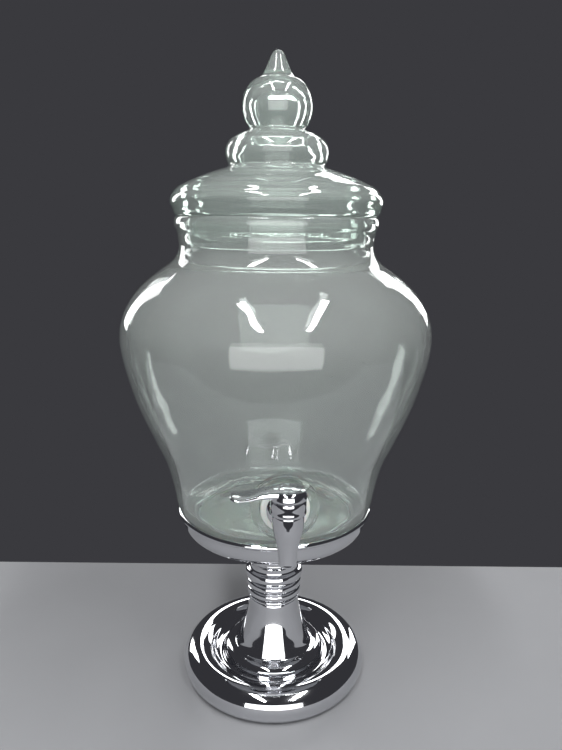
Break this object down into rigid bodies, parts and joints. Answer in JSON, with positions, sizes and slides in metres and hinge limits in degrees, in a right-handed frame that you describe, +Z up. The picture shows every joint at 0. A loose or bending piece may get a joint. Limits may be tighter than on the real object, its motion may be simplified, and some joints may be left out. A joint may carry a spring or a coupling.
{
  "type": "beverage dispenser",
  "caption": "Urn-shaped glass drinks dispenser with a lift-off domed glass lid, a quarter-turn chrome tap low on its front, and a chrome footed stand.",
  "frame": {"origin": "centre of the felt pad's underside, on the table", "axes": "+Z up along the jar's axis; the tap points towards -Y; the closed lever points towards -X"},
  "size_m": [0.2902, 0.2977, 0.605],
  "materials": {
    "glass": "clear green-tinted recycled glass",
    "chrome": "polished",
    "silicone": "translucent white",
    "felt": "pressed felt",
    "steel": "plain zinc-plated",
    "plastic": "moulded"
  },
  "bodies": {
    "stand": {"felt_pad": "felt", "base_plate": "steel", "foot_shell": "chrome", "stem_column": "chrome", "bowl": "chrome", "bowl_pad": "silicone", "tie_rod": "steel", "upper_washer": "steel", "upper_nut": "steel", "lower_washer": "steel", "lower_nut": "steel"},
    "jar": {"jar_glass": "glass", "gasket_outer": "silicone", "tap_flange": "chrome", "gasket_inner": "silicone", "tap_washer": "plastic", "tap_nut": "plastic", "tap_body": "chrome", "tap_bonnet": "chrome"},
    "lever": {"valve_plug": "plastic", "lower_seal": "silicone", "upper_seal": "silicone", "lever_handle": "chrome", "lever_screw": "steel"},
    "lid": {"lid_glass": "glass"}
  },
  "joints": [
    {"name": "jar_lift", "type": "slide", "parent": "stand", "child": "jar", "axis": [0, 0, 1], "range_m": [0, 0.05]},
    {"name": "lid_lift", "type": "slide", "parent": "jar", "child": "lid", "axis": [0, 0, 1], "range_m": [0, 0.15]},
    {"name": "lever_turn", "type": "hinge", "parent": "jar", "child": "lever", "pos_m": [0, -0.138, 0.24], "axis": [0, 0, 1], "range_deg": [0, 90]}
  ]
}
